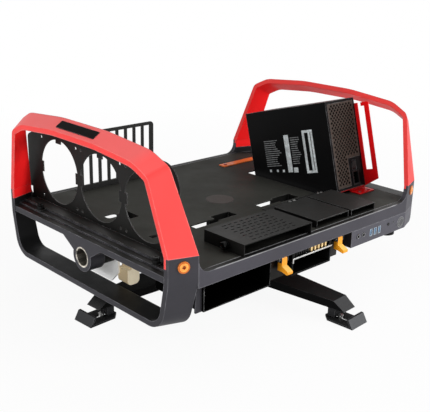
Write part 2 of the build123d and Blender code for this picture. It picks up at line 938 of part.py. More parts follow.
with BuildPart() as panel_bumper:
    with BuildSketch(deck.offset(panel_low)):
        with Locations((bumper_x, -half + bumper_r)):
            Circle(bumper_r)
    extrude(amount=-bumper_t)
save(panel_bumper, "panel_bumper")

# Socket for upright use: liner, tube, end plate and catch
with BuildPart() as socket_liner:
    with BuildSketch(side.offset(-beam_face)):
        with Locations((0, boss_z)):
            Circle(liner_r)
            Circle(socket_r, mode=Mode.SUBTRACT)
    extrude(amount=beam_face + plate_x)
save(socket_liner, "socket_liner")

with BuildPart() as socket_tube:
    with BuildSketch(side.offset(boss_back)):
        with Locations((0, boss_z)):
            Circle(tube_r)
            Circle(liner_r + liner_clear, mode=Mode.SUBTRACT)
    extrude(amount=plate_x - boss_back)
save(socket_tube, "socket_tube")

with BuildPart() as socket_plate:
    with BuildSketch(side.offset(plate_x)):
        outline(
            (plate_back, -beam_low),
            (plate_back, plate_low),
            (plate_front + plate_corner, plate_low),
            (plate_front, plate_low + plate_corner),
            (plate_front, -beam_low),
        )
    extrude(amount=plate_thick)
save(socket_plate, "socket_plate")

with BuildPart() as catch_block:
    with BuildSketch(front.offset(-catch_y)) as catch_shape:
        catch_x = plate_x + plate_thick
        outline(
            (catch_x + catch_toe, boss_z),
            (catch_x + catch_toe, catch_toe_top),
            (catch_x, catch_toe_top),
            (catch_x, catch_low),
            (catch_x + catch_l, catch_low),
            (catch_x + catch_l, boss_z),
        )
        fillet(catch_shape.vertices().group_by(Axis.Y)[0], catch_round)
    extrude(amount=catch_w)
save(catch_block, "catch_block")

# Power supply
up = (0, sin(lean), cos(lean))
back = (0, cos(lean), -sin(lean))
psu_corner = (psu_x, psu_y, deck_z + psu_z)
psu_base = Plane(origin=psu_corner, x_dir=(1, 0, 0), z_dir=up)
psu_face = Plane(origin=psu_corner, x_dir=(1, 0, 0), z_dir=(0, -back[1], -back[2]))
psu_side = Plane(origin=(psu_x + psu_w, psu_y, deck_z + psu_z), x_dir=back, z_dir=(1, 0, 0))


def grille_outline():
    outline(
        (grille_side, grille_side),
        (grille_leg, grille_side),
        (grille_leg, grille_low),
        (psu_w - grille_side, grille_low),
        (psu_w - grille_side, psu_h - grille_side),
        (grille_side, psu_h - grille_side),
    )


# Middle of a hole; every other row is shifted by half a pitch
def grille_spot(n, row):
    x = grille_side + grille_pitch * (n + 0.75 + row % 2 / 2)
    z = grille_side + grille_pitch * (row + 1.5) / 2
    return x, z


# Whether a hole here keeps a whole edge of sheet around it
def in_grille(x, z):
    edge = grille_side + grille_hole
    inside = x < psu_w - edge and z < psu_h - edge
    return inside and (x < grille_leg - grille_hole or z > grille_low + grille_hole)


with BuildPart() as psu_case:
    with BuildSketch(psu_base):
        block(0, psu_w, 0, psu_l)
    extrude(amount=psu_h)
    with BuildSketch(psu_face):
        with Locations((inlet_x, inlet_z)):
            Rectangle(inlet_w + inlet_wall, inlet_h + inlet_wall)
    extrude(amount=-inlet_depth, mode=Mode.SUBTRACT)
    with BuildSketch(psu_face):
        with Locations((inlet_x, rocker_z)):
            Rectangle(rocker_w + 2 * rocker_side, rocker_h + 2 * rocker_gap)
    extrude(amount=-rocker_depth, mode=Mode.SUBTRACT)
    with BuildSketch(psu_face):
        grille_outline()
    extrude(amount=-grille_t - grille_void, mode=Mode.SUBTRACT)
save(psu_case, "psu_case")

# Vent grille over the pocket, pierced with diamonds in staggered rows
with BuildPart() as psu_grille:
    with BuildSketch(psu_face):
        grille_outline()
        rows = range(2 * round(psu_h / grille_pitch))
        columns = range(round(psu_w / grille_pitch))
        spots = [grille_spot(n, row) for row in rows for n in columns]
        with Locations(*[spot for spot in spots if in_grille(*spot)]):
            Rectangle(grille_hole, grille_hole, rotation=45, mode=Mode.SUBTRACT)
    extrude(amount=-grille_t)
save(psu_grille, "psu_grille")

with BuildPart() as psu_inlet:
    with BuildSketch(psu_face):
        with Locations((inlet_x, inlet_z)):
            Rectangle(inlet_w + inlet_wall, inlet_h + inlet_wall)
    extrude(amount=-inlet_depth)
    with BuildSketch(psu_face):
        with Locations((inlet_x, inlet_z)):
            Rectangle(inlet_w + 2 * inlet_wall, inlet_h + 2 * inlet_wall)
    extrude(amount=inlet_proud)
    with BuildSketch(psu_face.offset(inlet_proud)):
        with Locations((inlet_x, inlet_z)):
            Rectangle(inlet_w, inlet_h)
    extrude(amount=-inlet_depth, mode=Mode.SUBTRACT)
    with BuildSketch(psu_face.offset(inlet_proud - inlet_depth)):
        for n in (-1, 0, 1):
            with Locations((inlet_x, inlet_z + n * blade_pitch)):
                Rectangle(blade_w, blade_t)
    extrude(amount=blade_l)
save(psu_inlet, "psu_inlet")

with BuildPart() as psu_switch:
    pivot = psu_face.from_local_coords((inlet_x, rocker_z, 0))
    tall = rocker_h / 2
    with BuildSketch(Plane(origin=pivot, x_dir=up, z_dir=(1, 0, 0))):
        places = (-tall, 0, tall)
        outline(*zip(places, rocker_root), *reversed(list(zip(places, rocker_crown))))
    extrude(amount=rocker_w / 2, both=True)
save(psu_switch, "psu_switch")

# Red cradle of the supply, folded from one sheet
rail_end = -cradle_rail - cradle_window
strip_end = rail_end - cradle_strip
tab_right = psu_x + psu_w + sheet
with BuildPart() as psu_cradle:
    with BuildSketch(psu_base):
        block(0, psu_w + sheet, sheet, psu_l)
    extrude(amount=-sheet)
    with BuildSketch(psu_side):
        block(strip_end, cradle_reach, -sheet, cradle_top)
        cut(rail_end, -cradle_rail, cradle_sill, cradle_top + 1)
        block(rail_end, -cradle_rail - cradle_window / 2, cradle_top - cradle_hook, cradle_top)
        with BuildLine():
            Polyline((strip_end, -sheet), (0, -sheet), (strip_end, cradle_strip), close=True)
        make_face(mode=Mode.SUBTRACT)
    extrude(amount=sheet)
    with BuildSketch(front.offset(-psu_y - sheet)):
        block(tab_right - foot_tab_w, tab_right, 0, psu_z - tab_web_gap)
    extrude(amount=-sheet)
    with BuildSketch(deck):
        block(tab_right - foot_tab_w, tab_right, psu_y - foot_tab_l, psu_y + 2 * sheet)
    extrude(amount=sheet)
save(psu_cradle, "psu_cradle")

with BuildPart() as psu_stay:
    with BuildSketch(deck):
        with Locations((stay_x, stay_y)):
            Rectangle(stay_l, stay_w)
    extrude(amount=sheet)
save(psu_stay, "psu_stay")

with BuildPart() as cradle_screws:
    tab_xs = (tab_right - tab_screw_in, tab_right - foot_tab_w + tab_screw_in)
    tab_screws = [(x, psu_y - tab_screw_y) for x in tab_xs]
    stay_screws = [(stay_x + end * stay_screw, stay_y) for end in (-1, 1)]
    for place in (*tab_screws, *stay_screws):
        with BuildSketch(deck.offset(sheet)):
            with Locations(place):
                Circle(cradle_screw_r)
        extrude(amount=cradle_screw_h)
save(cradle_screws, "cradle_screws")

# Stand under the deck
arm_low = arm_top - arm_t
socket_low = deck_z - socket_drop
with BuildPart() as deck_socket:
    with BuildSketch(Plane.XY.offset(deck_z - deck_t)):
        Circle(socket_flange_r)
    extrude(amount=-socket_flange_t)
    with BuildSketch(Plane.XY.offset(deck_z - deck_t)):
        Circle(boss_r)
    extrude(amount=socket_low - deck_z + deck_t)
    with BuildSketch(Plane.XY.offset(socket_low)):
        Circle(post_r + post_fit)
    extrude(amount=post_engage, mode=Mode.SUBTRACT)
save(deck_socket, "deck_socket")

with BuildPart() as stand_post:
    with BuildSketch(Plane.XY.offset(hub_h)):
        Circle(post_r)
    extrude(amount=socket_low + post_engage - hub_h)
save(stand_post, "stand_post")


def arm_plane(angle, z):
    a = radians(angle)
    return Plane(origin=(0, 0, z), x_dir=(cos(a), sin(a), 0), z_dir=(0, 0, 1))


def arm_section(angle):
    a = radians(angle)
    return Plane(origin=(0, 0, 0), x_dir=(cos(a), sin(a), 0), z_dir=(sin(a), -cos(a), 0))


with BuildPart() as stand_hub:
    with BuildSketch(arm_plane(turn, arm_low)):
        Rectangle(2 * hub_half, 2 * hub_half)
    extrude(amount=arm_t)
    with BuildSketch(Plane.XY.offset(arm_top)):
        Circle(hub_r)
    extrude(amount=hub_h - arm_top)
save(stand_hub, "stand_hub")

headings = {"right": turn, "back": turn + 90, "left": turn + 180, "front": turn + 270}
for name, angle in headings.items():
    with BuildPart() as arm:
        with BuildSketch(arm_plane(angle, arm_low)):
            tip = arm_tip + arm_slant
            outline((hub_half, -hub_half), (tip, -arm_tip_half), (tip, arm_tip_half), (hub_half, hub_half))
        extrude(amount=arm_t)
        with BuildSketch(arm_section(angle)):
            outline((arm_tip, arm_top), (tip, arm_low), (tip + arm_t, arm_low), (tip + arm_t, arm_top))
        extrude(amount=hub_half, both=True, mode=Mode.SUBTRACT)
    save(arm, f"{name}_arm")

    with BuildPart() as foot:
        rear = reach - foot_l
        with BuildSketch(arm_plane(angle, 0)):
            outline(
                (rear, -foot_half + foot_corner),
                (rear + foot_corner, -foot_half),
                (reach - lip_t, -foot_half),
                (reach - lip_t, foot_half),
                (rear + foot_corner, foot_half),
                (rear, foot_half - foot_corner),
            )
        extrude(amount=foot_t)
        with BuildSketch(arm_plane(angle, 0)):
            with Locations((reach - slot_l, 0)):
                SlotOverall(slot_l, foot_slot_w)
        extrude(amount=foot_t, mode=Mode.SUBTRACT)
        with BuildSketch(arm_section(angle)):
            lip_top = reach - lip_lean
            outline((reach - lip_t, 0), (reach, 0), (lip_top, lip_h), (lip_top - lip_t, lip_h))
        extrude(amount=foot_half, both=True)
        with BuildSketch(arm_plane(angle, foot_t)):
            block(rear + lip_t, rear + lip_t + stem_l, -stem_w / 2, stem_w / 2)
        extrude(amount=arm_low - foot_t)
    save(foot, f"{name}_foot")

with BuildPart() as foot_bolts:
    for angle in headings.values():
        with BuildSketch(arm_plane(angle, foot_t)):
            with Locations((reach - slot_l, 0)):
                Circle(foot_bolt_r)
        extrude(amount=foot_bolt_h)
        with BuildSketch(arm_plane(angle, foot_shank_gap)):
            with Locations((reach - slot_l, 0)):
                Circle(foot_shank_r)
        extrude(amount=foot_t - foot_shank_gap)
save(foot_bolts, "foot_bolts")
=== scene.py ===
import json
import math

import bmesh
import bpy
from mathutils import Matrix, Vector


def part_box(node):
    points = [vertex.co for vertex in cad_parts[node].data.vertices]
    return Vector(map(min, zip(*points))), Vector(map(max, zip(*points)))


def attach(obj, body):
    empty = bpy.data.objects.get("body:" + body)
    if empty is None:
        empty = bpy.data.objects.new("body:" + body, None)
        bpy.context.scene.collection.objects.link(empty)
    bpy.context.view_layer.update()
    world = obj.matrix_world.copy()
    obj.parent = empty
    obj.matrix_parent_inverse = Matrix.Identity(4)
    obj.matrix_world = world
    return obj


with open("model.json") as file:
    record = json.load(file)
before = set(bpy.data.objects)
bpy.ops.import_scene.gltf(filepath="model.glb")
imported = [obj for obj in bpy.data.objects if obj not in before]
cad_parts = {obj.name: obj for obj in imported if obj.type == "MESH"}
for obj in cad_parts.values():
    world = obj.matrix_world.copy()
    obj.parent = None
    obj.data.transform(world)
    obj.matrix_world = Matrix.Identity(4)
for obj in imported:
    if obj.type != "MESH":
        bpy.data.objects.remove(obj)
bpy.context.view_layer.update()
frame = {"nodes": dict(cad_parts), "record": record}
nodes = frame["nodes"]
mm = 0.001
weldGap = 1e-6
print("loaded", len(nodes), "solids")


# Small helpers for node trees

noiseBand = (0.3, 0.7)      # where most of a noise's values lie


def freshMaterial(name):
    mat = bpy.data.materials.new(name)
    mat.use_nodes = True
    tree = mat.node_tree
    tree.nodes.clear()
    out = tree.nodes.new("ShaderNodeOutputMaterial")
    skin = tree.nodes.new("ShaderNodeBsdfPrincipled")
    tree.links.new(skin.outputs[0], out.inputs[0])
    return mat, tree, skin


def addNode(tree, kind, values=None, **settings):
    node = tree.nodes.new(kind)
    for key, value in settings.items():
        setattr(node, key, value)
    for key, value in (values or {}).items():
        node.inputs[key].default_value = value
    return node


def wire(tree, source, target, fromSocket=0, toSocket=0):
    tree.links.new(source.outputs[fromSocket], target.inputs[toSocket])
    return target


def noiseOf(tree, coords, scale, fineness, stretch=None):
    detail, rough = fineness
    node = addNode(tree, "ShaderNodeTexNoise", {"Scale": scale, "Detail": detail, "Roughness": rough})
    if stretch:
        turned = addNode(tree, "ShaderNodeMapping", {"Scale": stretch})
        wire(tree, coords, turned, "Object", "Vector")
        wire(tree, turned, node, 0, "Vector")
    else:
        wire(tree, coords, node, "Object", "Vector")
    return node


def rangeOf(tree, source, low, high, band=noiseBand, fromSocket=0):
    limits = {"From Min": band[0], "From Max": band[1], "To Min": low, "To Max": high}
    node = addNode(tree, "ShaderNodeMapRange", limits)
    wire(tree, source, node, fromSocket, 0)
    return node


def mixColour(tree, factor, first, second, blend="MIX"):
    node = addNode(tree, "ShaderNodeMix", data_type="RGBA", blend_type=blend)
    if isinstance(factor, (int, float)):
        node.inputs[0].default_value = factor
    else:
        wire(tree, factor, node, 0, 0)
    for value, socket in ((first, node.inputs[6]), (second, node.inputs[7])):     # its two colour sockets
        if isinstance(value, tuple):
            socket.default_value = (*value, 1)
        else:
            tree.links.new(value, socket)
    return node.outputs[2]      # its colour result


# Painted light and shade by where a face looks: up a slope, straight up, or in towards a middle point; each
# gets its own lighter or darker tone, standing in for how the light falls on it
faceShadeBands = {
    "slope": (0.15, 0.4),       # upward share of the face's direction
    "top": (0.6, 0.92),
    "inner": (-0.03, -0.004),   # metres from the middle, measured along the face's direction
}


def faceLightAndShade(tree, coords, look):
    tone = look["colour"]
    for key in ("slope", "top"):
        if key in look:
            parts = addNode(tree, "ShaderNodeSeparateXYZ")
            wire(tree, coords, parts, "Normal", 0)
            tone = mixColour(tree, rangeOf(tree, parts, 0, 1, faceShadeBands[key], "Z"), tone, look[key])
    if "inner" in look:
        away = addNode(tree, "ShaderNodeVectorMath", {1: look["middle"]}, operation="SUBTRACT")
        wire(tree, coords, away, "Object", 0)
        across = addNode(tree, "ShaderNodeVectorMath", {1: look["spread"]}, operation="MULTIPLY")
        wire(tree, away, across, 0, 0)
        inward = addNode(tree, "ShaderNodeVectorMath", operation="DOT_PRODUCT")
        wire(tree, across, inward, 0, 0)
        wire(tree, coords, inward, "Normal", 1)
        tone = mixColour(tree, rangeOf(tree, inward, 1, 0, faceShadeBands["inner"], "Value"), tone, look["inner"])
    return tone


# What a finish has where its own entry doesn't say
plainLook = dict(drift=0.12, driftScale=9, driftStretch=None, grainScale=900, stretch=None, speckle=0.15,
                 bump=0.12, edge=0.0009, wearAndHighlight=0.5, deep=0.2, spread=(0, 1, 1), metal=0.0, specular=0.5,
                 coat=0.0)
# How every finish is laid on
layers = {
    "cloudFineness": (4, 0.5),      # detail and roughness of each noise
    "grainFineness": (2, 0.6),
    "patchFineness": (4, 0.5),
    "smearFineness": (5, 0.6),
    "fleckBand": (0.35, 0.75),
    "edgeBand": (0.86, 0.995),      # how far a rounded edge turns from its flat face
    "edgeSamples": 6,
    "edgeLift": 1.6,                # a lightened edge's colour, part wear and part painted highlight, where none is given
    "edgeFloor": 0.02,
    "patchScale": 60,
    "patchBand": (0.35, 0.7),
    "patchLeast": 0.15,
    # Painted shade in hollows
    "shadeReachBand": (0.2, 0.75),
    "shadeReachSamples": 4,
    "smearScale": 22,
    "smearSpread": (-0.06, 0.08),   # added to the roughness
    "grainDepth": 0.0004,
    "coatRough": 0.25,
}


# Coated or moulded surface: slow random tone drift, fine grain, softened edges lightened partly as wear and
# partly as painted highlight, painted light and shade by face direction, and painted shade in hollows
def coated(name, look):
    look = {**plainLook, **look}
    mat, tree, skin = freshMaterial(name)
    coords = addNode(tree, "ShaderNodeTexCoord")
    surface = addNode(tree, "ShaderNodeNewGeometry")
    colour, drift = look["colour"], look["drift"]

    cloud = noiseOf(tree, coords, look["driftScale"], layers["cloudFineness"], look["driftStretch"])
    shade = mixColour(tree, rangeOf(tree, cloud, 0, 1), (1 - drift,) * 3, (1 + drift,) * 3)
    tone = mixColour(tree, 1.0, faceLightAndShade(tree, coords, look), shade, "MULTIPLY")
    grain = noiseOf(tree, coords, look["grainScale"], layers["grainFineness"], look["stretch"])
    flecks = rangeOf(tree, grain, 0, 1, layers["fleckBand"])
    fleckTone = mixColour(tree, flecks, (1, 1, 1), (1 + look["speckle"],) * 3)
    tone = mixColour(tree, 1.0, tone, fleckTone, "MULTIPLY")

    # Edges lightened in patches: partly rubbed wear, partly painted highlight along the rounded edges
    rounded = addNode(tree, "ShaderNodeBevel", {"Radius": look["edge"]}, samples=layers["edgeSamples"])
    turn = addNode(tree, "ShaderNodeVectorMath", operation="DOT_PRODUCT")
    wire(tree, rounded, turn, 0, 0)
    wire(tree, surface, turn, "Normal", 1)
    patches = noiseOf(tree, coords, layers["patchScale"], layers["patchFineness"])
    amount = addNode(tree, "ShaderNodeMath", operation="MULTIPLY", use_clamp=True)
    wire(tree, rangeOf(tree, turn, 1, 0, layers["edgeBand"], "Value"), amount, 0, 0)
    wire(tree, rangeOf(tree, patches, layers["patchLeast"], look["wearAndHighlight"], layers["patchBand"]), amount, 0, 1)
    lifted = tuple(min(1, c * layers["edgeLift"] + layers["edgeFloor"]) for c in colour)
    tone = mixColour(tree, amount, tone, look.get("edgeColour", lifted))

    # Painted shade: darker where it is shut in, in corners, recesses and under things
    if "shadeReach" in look:
        corner = addNode(tree, "ShaderNodeAmbientOcclusion", {"Distance": look["shadeReach"]},
                         samples=layers["shadeReachSamples"])
        deep = tuple(c * look["deep"] for c in colour)
        tone = mixColour(tree, rangeOf(tree, corner, 0, 1, layers["shadeReachBand"], "AO"), deep, tone)
    tree.links.new(tone, skin.inputs["Base Color"])

    # Gloss and grain
    smear = noiseOf(tree, coords, layers["smearScale"], layers["smearFineness"])
    shiny, dull = (look["rough"] + change for change in layers["smearSpread"])
    wire(tree, rangeOf(tree, smear, shiny, dull), skin, 0, "Roughness")
    bump = addNode(tree, "ShaderNodeBump", {"Strength": look["bump"], "Distance": layers["grainDepth"]})
    wire(tree, grain, bump, 0, "Height")
    wire(tree, rounded, bump, 0, "Normal")
    wire(tree, bump, skin, 0, "Normal")
    skin.inputs["Metallic"].default_value = look["metal"]
    skin.inputs["Specular IOR Level"].default_value = look["specular"]
    skin.inputs["Coat Weight"].default_value = look["coat"]
    skin.inputs["Coat Roughness"].default_value = layers["coatRough"]
    return mat


# In these finishes the top, slope and inner tones are painted light and shade by face direction, the
# darkening in hollows is painted shade, and the lightened edges are partly wear, partly painted highlight
finishes = {
    # Painted shade: up-facing faces and faces looking in towards the middle far darker than the sides, and
    # darker in hollows; painted highlight on the edges
    "frame_grey": dict(colour=(0.060, 0.058, 0.070), top=(0.010, 0.0097, 0.009), inner=(0.010, 0.010, 0.0105),
                       middle=(0, 0, 0.1), rough=0.46, grainScale=1300, speckle=0.25, bump=0.1, wearAndHighlight=0.8,
                       edgeColour=(0.36, 0.36, 0.39), specular=0.12, shadeReach=0.08, edge=0.0016, deep=0.12),
    # Painted light: up-facing faces a paler red; painted shade: faces looking in a deeper red; painted
    # highlight on the edges
    "handle_red": dict(colour=(0.95, 0.066, 0.062), top=(1.0, 0.175, 0.170), inner=(0.98, 0.014, 0.015),
                       middle=(0, 0, 0.2), rough=0.42, grainScale=1500, speckle=0.05, bump=0.06, drift=0.05,
                       wearAndHighlight=0.8, edgeColour=(1.0, 0.42, 0.39), edge=0.002, specular=0.2),
    # Painted shade in its hollows, beside the supply
    "cradle_red": dict(colour=(0.92, 0.006, 0.009), rough=0.38, grainScale=1500, speckle=0.06, bump=0.05,
                       drift=0.06, wearAndHighlight=0.35, edgeColour=(0.9, 0.12, 0.1), edge=0.0006, specular=0.15,
                       shadeReach=0.12, deep=0.12),
    # Painted shade: sides far darker than the up-facing top, and darker in hollows and under the covers
    "deck_black": dict(colour=(0.006, 0.006, 0.0055), top=(0.039, 0.039, 0.0345), rough=0.5, grainScale=1100,
                       speckle=0.3, bump=0.16, drift=0.16, wearAndHighlight=0.9, edgeColour=(0.17, 0.17, 0.16),
                       edge=0.0022, specular=0.02, shadeReach=0.06, deep=0.05),
    # Painted light: up-facing faces lighter than the sides; painted shade in hollows
    "sheet_black": dict(colour=(0.0085, 0.0084, 0.008), top=(0.021, 0.0205, 0.0195), rough=0.42,
                        grainScale=1200, speckle=0.25, bump=0.1, wearAndHighlight=1.0, edgeColour=(0.36, 0.36, 0.36),
                        edge=0.0008, specular=0.07, shadeReach=0.06, deep=0.03),
    # Painted light: slopes much lighter and tops lighter than the near-black sides; painted shade in hollows
    # under the bench
    "stand_black": dict(colour=(0.004, 0.004, 0.0042), slope=(0.17, 0.171, 0.175), top=(0.012, 0.012, 0.012),
                        rough=0.46, grainScale=1000, speckle=0.25, bump=0.14, wearAndHighlight=0.9,
                        edgeColour=(0.24, 0.24, 0.25), edge=0.001, specular=0.03, shadeReach=0.2, deep=0.03),
    # Painted shade in hollows
    "black_plastic": dict(colour=(0.006, 0.006, 0.0063), rough=0.36, grainScale=700, speckle=0.2, bump=0.2,
                          edgeColour=(0.08, 0.08, 0.085), edge=0.0006, specular=0.2, shadeReach=0.04, deep=0.05),
    "bumper_rubber": dict(colour=(0.007, 0.007, 0.007), rough=0.75, grainScale=500, speckle=0.3, bump=0.3,
                          wearAndHighlight=0.2, edge=0.001, specular=0.1),
    # Painted shade in small hollows
    "bolt_orange": dict(colour=(0.55, 0.128, 0.010), rough=0.32, speckle=0.1, bump=0.05, metal=0.2,
                        edgeColour=(1.0, 0.5, 0.15), edge=0.0006, shadeReach=0.004, deep=0.3),
    # Painted light: up-facing faces a paler yellow; painted shade in hollows
    "latch_yellow": dict(colour=(0.95, 0.36, 0.014), top=(1.0, 0.62, 0.14), rough=0.34, grainScale=800,
                         speckle=0.05, bump=0.05, coat=0.1, wearAndHighlight=0.3, edgeColour=(1.0, 0.58, 0.12),
                         edge=0.0012, specular=0.3, shadeReach=0.03, deep=0.25),
    "bright_steel": dict(colour=(0.62, 0.62, 0.61), rough=0.3, grainScale=600, speckle=0.2, bump=0.08,
                         metal=1.0, wearAndHighlight=0.4, edgeColour=(0.85, 0.85, 0.85), edge=0.0004, stretch=(1, 1, 8)),
    "bare_steel": dict(colour=(0.97, 0.97, 0.95), rough=0.38, grainScale=500, speckle=0.2, metal=0.5,
                       wearAndHighlight=0.4, edgeColour=(0.9, 0.9, 0.9), edge=0.0006, stretch=(1, 1, 12)),
    # Painted reflection: strong light and dark streaks along the bore; painted shade in its hollows
    "socket_chrome": dict(colour=(0.52, 0.48, 0.41), rough=0.33, speckle=0.3, bump=0.02, metal=0.8, wearAndHighlight=0.4,
                          edgeColour=(0.95, 0.95, 0.95), edge=0.0006, stretch=(1, 6, 6), shadeReach=0.04,
                          deep=0.22, drift=0.95, driftScale=130, driftStretch=(0.04, 1, 1)),
    "pin_gold": dict(colour=(0.96, 0.70, 0.34), rough=0.28, grainScale=700, bump=0.05, metal=0.7, wearAndHighlight=0.4,
                     edgeColour=(1, 0.8, 0.4), edge=0.0004),
    "port_blue": dict(colour=(0.10, 0.30, 0.55), rough=0.4, grainScale=700, speckle=0.1, bump=0.08, wearAndHighlight=0.2,
                      edgeColour=(0.3, 0.55, 0.95), edge=0.0003),
    # Painted shade: faces looking towards -X a darker brown
    "catch_cream": dict(colour=(1.0, 0.88, 0.64), inner=(0.52, 0.41, 0.25), middle=(-1, 0, 0),
                        spread=(1, 0, 0), rough=0.42, grainScale=600, speckle=0.08, bump=0.08, wearAndHighlight=0.25,
                        edgeColour=(0.9, 0.84, 0.68), edge=0.0014, drift=0.08, specular=0.2),
    "psu_black": dict(colour=(0.0035, 0.0035, 0.0037), rough=0.38, grainScale=1400, speckle=0.2, bump=0.08,
                      wearAndHighlight=0.9, edgeColour=(0.30, 0.30, 0.31), edge=0.0015, specular=0.05),
    "vent_dark": dict(colour=(0.046, 0.034, 0.027), rough=0.5, grainScale=1200, speckle=0.2, bump=0.1,
                      wearAndHighlight=0.3, edgeColour=(0.07, 0.055, 0.045), edge=0.0003, specular=0.12),
    "lamp_clear": dict(colour=(0.02, 0.022, 0.026), rough=0.22, grainScale=400, speckle=0.1, bump=0.03,
                       coat=0.4, wearAndHighlight=0.2, edge=0.0003),
    "button_grey": dict(colour=(0.075, 0.075, 0.08), rough=0.34, grainScale=700, bump=0.06, metal=0.3,
                        wearAndHighlight=0.9, edgeColour=(0.5, 0.5, 0.51), specular=0.3),
    "cap_grey": dict(colour=(0.066, 0.056, 0.052), rough=0.5, grainScale=1100, speckle=0.25, drift=0.1,
                     edgeColour=(0.014, 0.013, 0.012), specular=0.03),
}
# Single pieces whose tone departs from the rest of their slot; several are lit or shaded copies of their
# slot's finish, with painted light or painted shade
# Painted light: the feet, out from under the bench, get lighter sides and tops than the stand's black; the
# side feet are a copy with darker slopes, painted shade
litFootLook = dict(finishes["stand_black"], colour=(0.030, 0.030, 0.032), slope=(0.094, 0.096, 0.100),
                top=(0.022, 0.022, 0.023), shadeReach=0.03, deep=0.15)
shadedFootLook = dict(litFootLook, slope=(0.045, 0.046, 0.048))
ownFinish = {
    # Painted shade: the bay darker than its sheet black, black in every hollow, with no sheen
    "lower_bay": ("bayShadedBlack", dict(finishes["sheet_black"], colour=(0.005, 0.005, 0.005),
                                   top=(0.003, 0.003, 0.003), shadeReach=0.2, deep=0.0, specular=0.0)),
    # Painted shade: the latch brackets made near-black where they sit in shadow behind the beam
    "latch_brackets": ("bracketShaded", dict(finishes["black_plastic"], colour=(0.008, 0.007, 0.006))),
    "reset_button": ("resetBlack", dict(finishes["black_plastic"], colour=(0.006, 0.006, 0.006))),
    # Painted shade: the panel's faces looking towards -X are near-black
    "io_panel": ("panelGrey", dict(finishes["frame_grey"], colour=(0.076, 0.074, 0.088),
                                   inner=(0.004, 0.004, 0.004), middle=(-1, 0, 0), spread=(1, 0, 0))),
    # Painted shade: deeper darkening inside the dock
    "dock_housing": ("dockBlack", dict(finishes["black_plastic"], shadeReach=0.08, deep=0.02, specular=0.06)),
    "drive_cover_large": ("ventedBlack", dict(finishes["sheet_black"], edge=0.0003,
                                              edgeColour=(0.16, 0.16, 0.16))),
    "slot_bracket": ("combGrey", dict(finishes["sheet_black"], colour=(0.030, 0.030, 0.029))),
    "fan_bracket": ("fanBlack", dict(finishes["sheet_black"], colour=(0.0125, 0.0124, 0.0118))),
    # The same red with a weaker painted edge highlight and less sheen
    "right_handle": ("handleCalm", dict(finishes["handle_red"], specular=0.12,
                                        edgeColour=(1.0, 0.13, 0.125))),
    # Painted shade: darker copies of the frame grey for the end casting and the bay bracket
    "left_end_frame": ("endShaded", dict(finishes["frame_grey"], colour=(0.037, 0.036, 0.042))),
    "bay_bracket": ("bayBracketShaded", dict(finishes["frame_grey"], colour=(0.028, 0.027, 0.032))),
    "usb_shells": ("shellPale", dict(finishes["bright_steel"], colour=(0.44, 0.52, 0.58), metal=0.3)),
    "cradle_screws": ("screwDark", dict(finishes["bright_steel"], colour=(0.30, 0.03, 0.03), metal=0.4)),
    # Painted highlight: wider, brighter lightened edges along the beams
    "base_frame": ("beamGrey", dict(finishes["frame_grey"], colour=(0.053, 0.051, 0.061), edge=0.0028,
                                    edgeColour=(0.24, 0.24, 0.26), wearAndHighlight=1.1)),
    "front_foot": ("footLit", litFootLook),
    "back_foot": ("footLit", litFootLook),
    "left_foot": ("footShaded", shadedFootLook),
    "right_foot": ("footShaded", shadedFootLook),
    # Painted light: a lighter, orange copy of the cradle red on the flat stay, with painted shade in its
    # hollows
    "psu_stay": ("stayLitRed", dict(finishes["cradle_red"], colour=(1.0, 0.22, 0.05), drift=0.2,
                                    driftScale=60, shadeReach=0.03, deep=0.6)),
    "handle_plate": ("plateBlack", dict(finishes["sheet_black"], colour=(0.004, 0.0037, 0.0037),
                                        top=(0.004, 0.0037, 0.0037), specular=0.02)),
}
paint = {slot: coated(slot, look) for slot, look in finishes.items()}
for part in frame["record"]["subparts"]:
    solid = nodes[part["node"]]
    solid.data.materials.clear()
    name, look = ownFinish.get(part["node"], (part["material_slot"], None))
    if name not in paint:
        paint[name] = coated(name, look)
    solid.data.materials.append(paint[name])
print("painted", len(paint), "finishes")


# Fine pieces that the solids leave out

def seat(piece, finish):
    piece.data.materials.append(paint[finish])
    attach(piece, "bench")


def pieceOf(name, bm):
    bmesh.ops.recalc_face_normals(bm, faces=bm.faces)
    mesh = bpy.data.meshes.new(name)
    bm.to_mesh(mesh)
    bm.free()
    piece = bpy.data.objects.new(name, mesh)
    bpy.context.scene.collection.objects.link(piece)
    return piece


# Closed hoops of points joined into a skin; each hoop is a list of places
def skinHoops(bm, hoops, ringed=False):
    rows = [[bm.verts.new(place) for place in hoop] for hoop in hoops]
    following = rows[1:] + rows[:1] if ringed else rows[1:]
    for low, high in zip(rows, following):
        for n in range(len(low)):
            m = (n + 1) % len(low)
            bm.faces.new((low[n], low[m], high[m], high[n]))
    if not ringed:
        bm.faces.new(rows[0])
        bm.faces.new(rows[-1])


def slab(bm, corner, along, up, out, sizes):
    length, height, depth = sizes
    hoops = []
    for d in (0, depth):
        base = corner + out * d
        hoops.append([base, base + along * length, base + along * length + up * height, base + up * height])
    skinHoops(bm, hoops)


# Separate solids of a node, as boxes in order of their lowest corners
def boxesOf(name):
    bm = bmesh.new()
    bm.from_mesh(nodes[name].data)
    bmesh.ops.remove_doubles(bm, verts=bm.verts, dist=weldGap)
    left, boxes = set(bm.verts), []
    while left:
        waiting, group = [left.pop()], []
        while waiting:
            vert = waiting.pop()
            group.append(vert.co.copy())
            for edge in vert.link_edges:
                other = edge.other_vert(vert)
                if other in left:
                    left.remove(other)
                    waiting.append(other)
        boxes.append([Vector(pick(place[i] for place in group) for i in range(3)) for pick in (min, max)])
    bm.free()
    return sorted(boxes, key=lambda box: tuple(box[0]))


